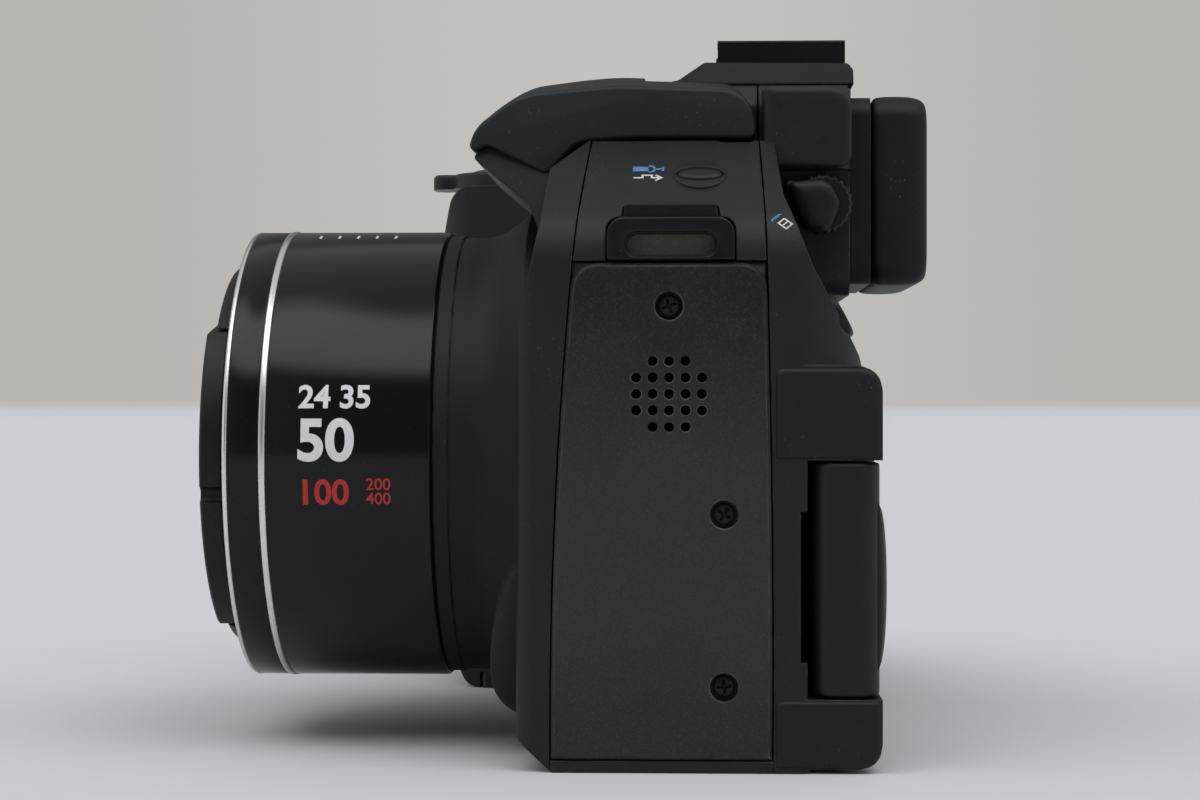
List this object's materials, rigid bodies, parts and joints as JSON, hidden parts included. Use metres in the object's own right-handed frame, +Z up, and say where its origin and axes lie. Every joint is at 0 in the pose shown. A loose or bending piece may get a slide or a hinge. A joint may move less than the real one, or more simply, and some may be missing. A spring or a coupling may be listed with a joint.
{
  "type": "bridge camera",
  "caption": "Bridge camera with a capped long zoom lens, hand grip, raised flash and shoe, eyepiece, and a screen that swings out on a side hinge.",
  "frame": {"origin": "centre of the tripod socket's mouth in the base, under the lens axis", "axes": "+X towards the viewer's left, -Y the way the lens looks, +Z up"},
  "size_m": [0.1269, 0.089, 0.0884],
  "materials": {
    "black_plastic": "fine satin, bluish black",
    "speckled_plastic": "fine light speckle",
    "gloss_black": "polished black",
    "tube_black": "matt black tube",
    "grip_rubber": "fine grained rubber",
    "soft_rubber": "smooth soft rubber",
    "inner_metal": "raw casting",
    "bright_trim": "bright polished ring",
    "plated_steel": "plated sheet",
    "black_steel": "blackened screw",
    "contact_gold": "gold plated",
    "lug_metal": "black satin metal",
    "lens_glass": "coated glass",
    "clear_window": "clear window",
    "flash_window": "ribbed diffuser",
    "screen_glass": "dark display",
    "sensor_green": "sensor package",
    "cell_wrap": "printed film",
    "card_plastic": "moulded card",
    "speaker_cone": "paper cone and frame",
    "button_black": "satin button",
    "shutter_metal": "dark bright finish",
    "movie_red": "red dot button"
  },
  "bodies": {
    "body": {"front_shell": "black_plastic", "rear_shell": "black_plastic", "top_cover": "black_plastic", "bottom_cover": "black_plastic", "right_side_cover": "black_plastic", "chassis": "inner_metal", "side_panel": "speckled_plastic", "side_panel_screws": "black_steel", "speaker": "speaker_cone", "strap_lug_left": "lug_metal", "strap_lug_right": "lug_metal", "grip_skin": "grip_rubber", "lens_collar": "black_plastic", "lens_sleeve": "gloss_black", "trim_rings": "bright_trim", "image_sensor": "sensor_green", "flash_hinge_pins": "plated_steel", "shoe_plate": "black_plastic", "hot_shoe": "plated_steel", "hot_shoe_contacts": "contact_gold", "eyepiece_frame": "black_plastic", "eyepiece_lens": "clear_window", "eyecup": "soft_rubber", "focus_lamp_window": "clear_window", "battery_cells": "cell_wrap", "memory_card": "card_plastic", "terminal_sockets": "plated_steel", "bottom_screws": "black_steel", "tripod_socket": "plated_steel"},
    "zoom_outer": {"zoom_tube_outer": "tube_black"},
    "zoom_inner": {"zoom_tube_inner": "tube_black", "front_bezel": "black_plastic", "front_lens": "lens_glass"},
    "cap": {"lens_cap": "black_plastic"},
    "tab_left": {"cap_tab_left": "black_plastic"},
    "tab_right": {"cap_tab_right": "black_plastic"},
    "flash": {"flash_head": "black_plastic", "flash_window": "flash_window"},
    "screen_hinge": {"lcd_hinge_bar": "black_plastic"},
    "screen": {"lcd_back_cover": "black_plastic", "lcd_frame": "black_plastic", "lcd_glass": "screen_glass"},
    "shutter": {"shutter_button": "shutter_metal"},
    "lever": {"zoom_lever": "button_black"},
    "dial": {"mode_dial": "button_black"},
    "wheel": {"control_wheel": "button_black"},
    "dioptre": {"dioptre_dial": "button_black"},
    "ring_release": {"ring_release_button": "black_plastic"},
    "power": {"power_button": "button_black"},
    "shoulder": {"shoulder_button": "button_black"},
    "shortcut": {"shortcut_button": "button_black"},
    "movie": {"movie_button": "movie_red"},
    "exposure_lock": {"exposure_lock_button": "button_black"},
    "focus_frame": {"focus_frame_button": "button_black"},
    "set": {"set_button": "button_black"},
    "menu": {"menu_button": "button_black"},
    "display": {"display_button": "button_black"},
    "battery_door": {"battery_door": "black_plastic"},
    "card_door": {"card_door": "black_plastic"},
    "terminal_cover": {"terminal_cover": "soft_rubber"}
  },
  "joints": [
    {"name": "zoom_outer_slide", "type": "slide", "parent": "body", "child": "zoom_outer", "axis": [0, -1, 0], "range_m": [0, 0.022]},
    {"name": "zoom_inner_slide", "type": "slide", "parent": "zoom_outer", "child": "zoom_inner", "axis": [0, -1, 0], "range_m": [0, 0.02]},
    {"name": "cap_pull", "type": "slide", "parent": "zoom_inner", "child": "cap", "axis": [0, -1, 0], "range_m": [0, 0.03]},
    {"name": "cap_tab_left_squeeze", "type": "slide", "parent": "cap", "child": "tab_left", "axis": [-0.9816, 0, 0.1908], "range_m": [0, 0.0015], "stiffness_N_per_m": 300},
    {"name": "cap_tab_right_squeeze", "type": "slide", "parent": "cap", "child": "tab_right", "axis": [0.9816, 0, -0.1908], "range_m": [0, 0.0015], "stiffness_N_per_m": 300},
    {"name": "flash_lift", "type": "hinge", "parent": "body", "child": "flash", "pos_m": [0, 0.0056, 0.0774], "axis": [-1, 0, 0], "range_deg": [0, 50]},
    {"name": "screen_swing", "type": "hinge", "parent": "body", "child": "screen_hinge", "pos_m": [0.0325, 0.0181, 0.02235], "axis": [0, 0, -1], "range_deg": [0, 175]},
    {"name": "screen_tilt", "type": "hinge", "parent": "screen_hinge", "child": "screen", "pos_m": [0.0325, 0.0181, 0.02235], "axis": [-1, 0, 0], "range_deg": [0, 43.75]},
    {"name": "shutter_press", "type": "slide", "parent": "body", "child": "shutter", "axis": [0, 0, -1], "range_m": [0, 0.0008], "stiffness_N_per_m": 400},
    {"name": "zoom_lever_turn", "type": "hinge", "parent": "body", "child": "lever", "pos_m": [-0.062, -0.028, 0.0753], "axis": [0, 0, 1], "range_deg": [-25, 25], "stiffness_Nm_per_rad": 0.05},
    {"name": "mode_dial_turn", "type": "hinge", "parent": "body", "child": "dial", "pos_m": [-0.0375, -0.0015, 0.071], "axis": [0, 0, 1], "continuous": true},
    {"name": "control_wheel_turn", "type": "hinge", "parent": "body", "child": "wheel", "pos_m": [-0.0665, 0.0203, 0.024], "axis": [0, 1, 0], "continuous": true},
    {"name": "dioptre_turn", "type": "hinge", "parent": "body", "child": "dioptre", "pos_m": [0.018, 0.0161, 0.0669], "axis": [1, 0, 0], "range_deg": [-60, 60]},
    {"name": "ring_release_press", "type": "slide", "parent": "body", "child": "ring_release", "axis": [0, 1, 0], "range_m": [0, 0.0008], "stiffness_N_per_m": 400},
    {"name": "power_press", "type": "slide", "parent": "body", "child": "power", "axis": [0, 0, -1], "range_m": [0, 0.0008], "stiffness_N_per_m": 400},
    {"name": "shoulder_press", "type": "slide", "parent": "body", "child": "shoulder", "axis": [-0.5812, 0, -0.8137], "range_m": [0, 0.0008], "stiffness_N_per_m": 400},
    {"name": "shortcut_press", "type": "slide", "parent": "body", "child": "shortcut", "axis": [0, -0.8756, -0.483], "range_m": [0, 0.0008], "stiffness_N_per_m": 400},
    {"name": "movie_press", "type": "slide", "parent": "body", "child": "movie", "axis": [0, -0.8756, -0.483], "range_m": [0, 0.0008], "stiffness_N_per_m": 400},
    {"name": "exposure_lock_press", "type": "slide", "parent": "body", "child": "exposure_lock", "axis": [0, -0.8756, -0.483], "range_m": [0, 0.0008], "stiffness_N_per_m": 400},
    {"name": "focus_frame_press", "type": "slide", "parent": "body", "child": "focus_frame", "axis": [0, -0.8756, -0.483], "range_m": [0, 0.0008], "stiffness_N_per_m": 400},
    {"name": "set_press", "type": "slide", "parent": "body", "child": "set", "axis": [0, -1, 0], "range_m": [0, 0.0008], "stiffness_N_per_m": 400},
    {"name": "menu_press", "type": "slide", "parent": "body", "child": "menu", "axis": [0, -1, 0], "range_m": [0, 0.0008], "stiffness_N_per_m": 400},
    {"name": "display_press", "type": "slide", "parent": "body", "child": "display", "axis": [0, -1, 0], "range_m": [0, 0.0008], "stiffness_N_per_m": 400},
    {"name": "battery_door_swing", "type": "hinge", "parent": "body", "child": "battery_door", "pos_m": [-0.04898, -0.015, 0.001], "axis": [0, -1, 0], "range_deg": [0, 95]},
    {"name": "card_door_swing", "type": "hinge", "parent": "body", "child": "card_door", "pos_m": [-0.0871, 0.0032, 0.0149], "axis": [0, -1, 0], "range_deg": [0, 95]},
    {"name": "terminal_cover_swing", "type": "hinge", "parent": "body", "child": "terminal_cover", "pos_m": [-0.0871, 0.0032, 0.0489], "axis": [0, -1, 0], "range_deg": [0, 95]}
  ],
  "couplings": [
    {"joint": "zoom_inner_slide", "follows": "zoom_outer_slide", "ratio": 0.90909},
    {"joint": "screen_tilt", "follows": "screen_swing", "ratio": 0.25}
  ]
}
